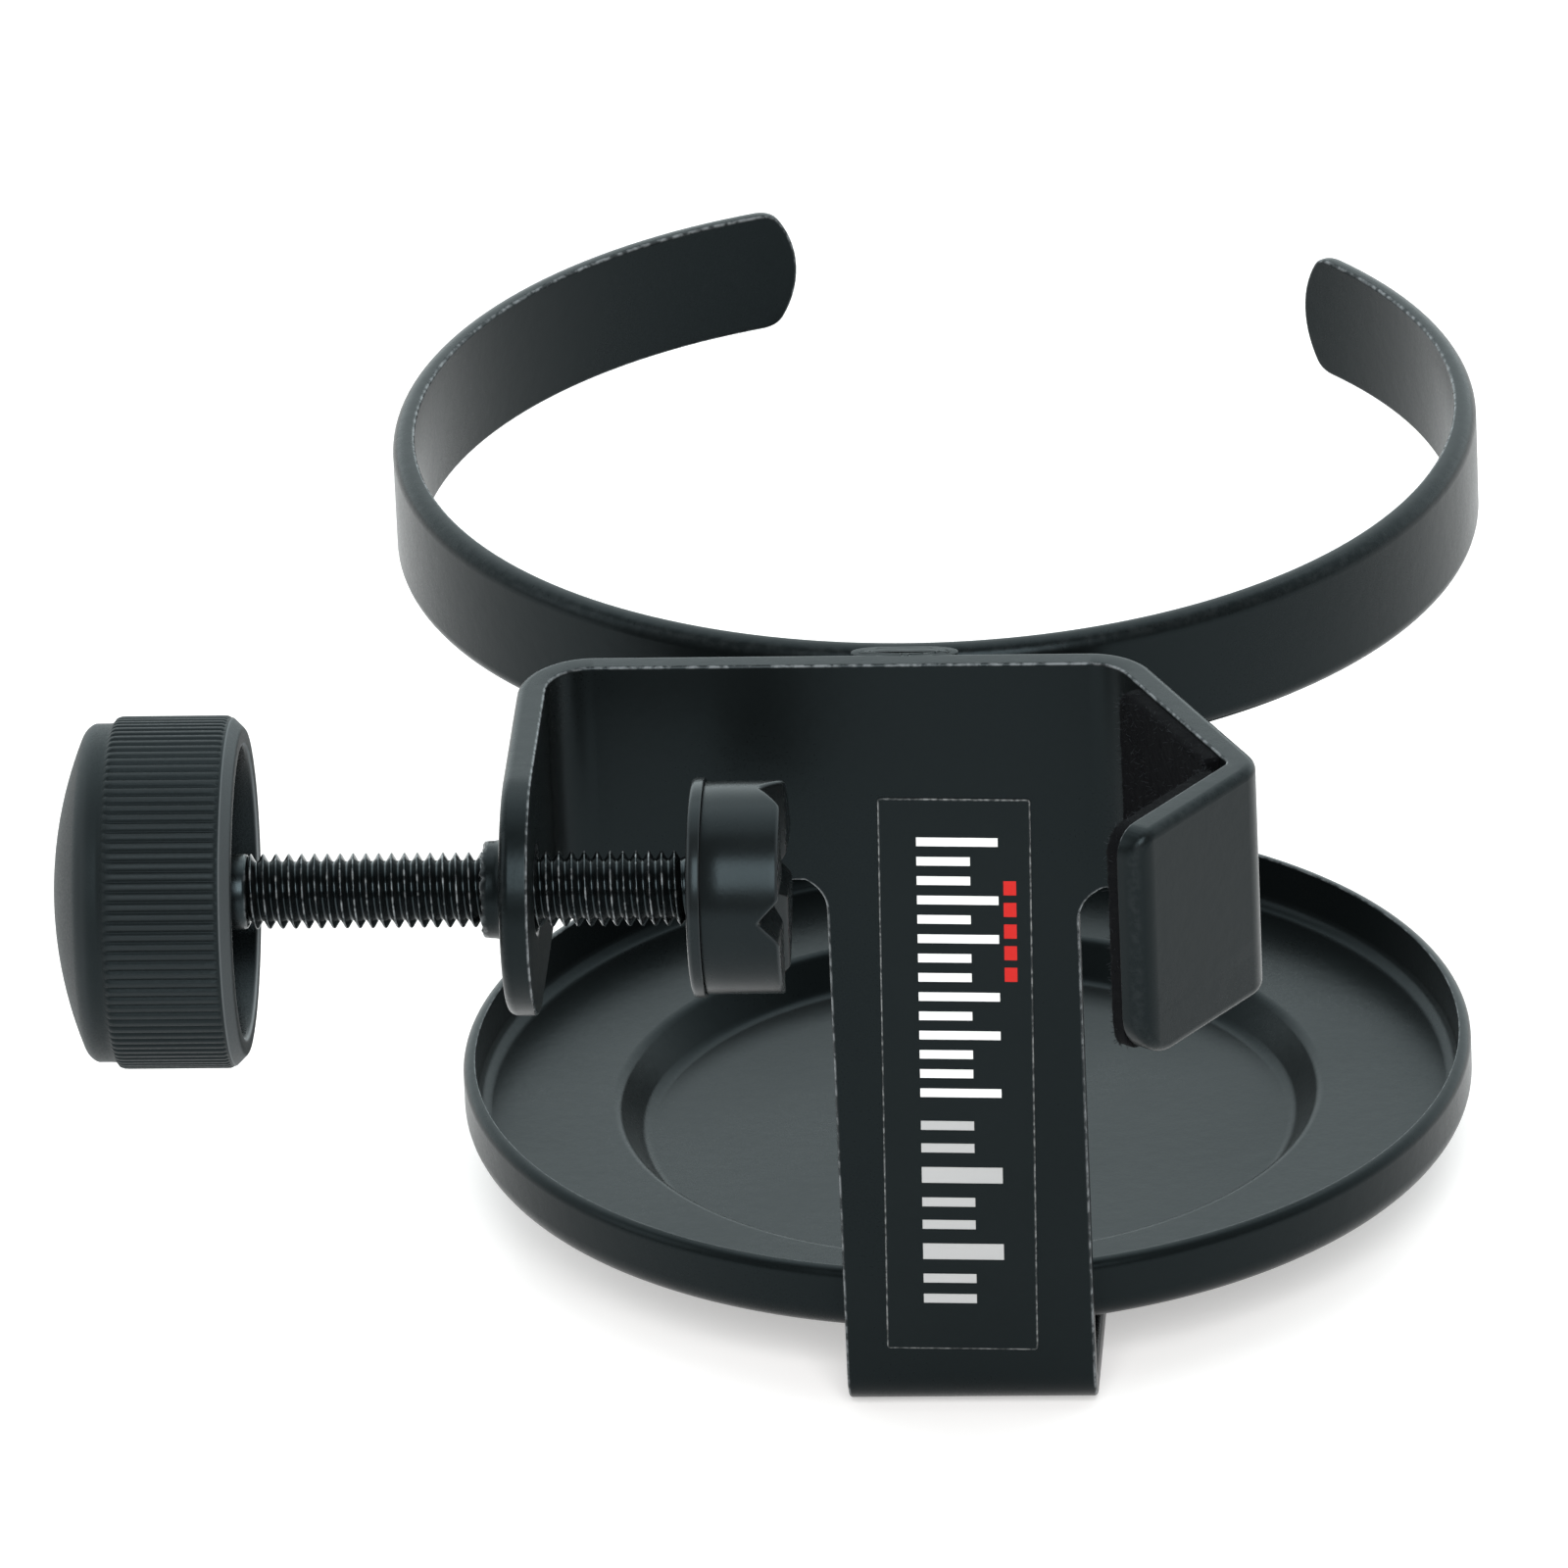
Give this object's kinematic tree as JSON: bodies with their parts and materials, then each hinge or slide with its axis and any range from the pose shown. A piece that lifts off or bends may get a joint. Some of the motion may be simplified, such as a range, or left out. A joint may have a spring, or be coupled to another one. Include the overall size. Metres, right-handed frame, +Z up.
{
  "type": "clamp-on cup holder",
  "caption": "Screw-clamped cup holder: a bent steel bracket with a V jaw grips a pole and carries an open ring above a shallow round tray.",
  "frame": {"origin": "on the axis of the cup ring, at the level of the foot's underside", "axes": "+X along the clamp screw from the knob to the jaw, +Y from the bracket plate towards the cup, +Z up"},
  "size_m": [0.1086, 0.1195, 0.0699],
  "materials": {
    "black_powder_coat": "satin black powder coat",
    "black_screw_steel": "glossy black plated threads",
    "knob_plastic": "fine matt texture",
    "shoe_disc_plastic": "satin",
    "shoe_rubber": "smooth moulded rubber",
    "pad_felt": "fuzzy felt",
    "label_film": "printed film with bright cut edges"
  },
  "bodies": {
    "bracket": {"clamp_bracket": "black_powder_coat", "cup_ring": "black_powder_coat", "ring_weld_beads": "black_powder_coat", "cup_tray": "black_powder_coat", "tray_weld_beads": "black_powder_coat", "jaw_pad_rear": "pad_felt", "jaw_pad_front": "pad_felt", "label": "label_film"},
    "shoe": {"shoe_disc": "shoe_disc_plastic", "shoe_cap": "shoe_rubber"},
    "screw": {"clamp_screw": "black_screw_steel", "knob": "knob_plastic"}
  },
  "joints": [
    {"name": "screw_feed", "type": "slide", "parent": "bracket", "child": "shoe", "axis": [1, 0, 0], "range_m": [-0.0118, 0.0175]},
    {"name": "screw_turn", "type": "hinge", "parent": "shoe", "child": "screw", "pos_m": [-0.03, -0.0647, 0.0562], "axis": [1, 0, 0], "range_deg": [-4248, 6300]}
  ],
  "couplings": [
    {"joint": "screw_feed", "follows": "screw_turn", "m_per_rad": 0.00015915}
  ]
}
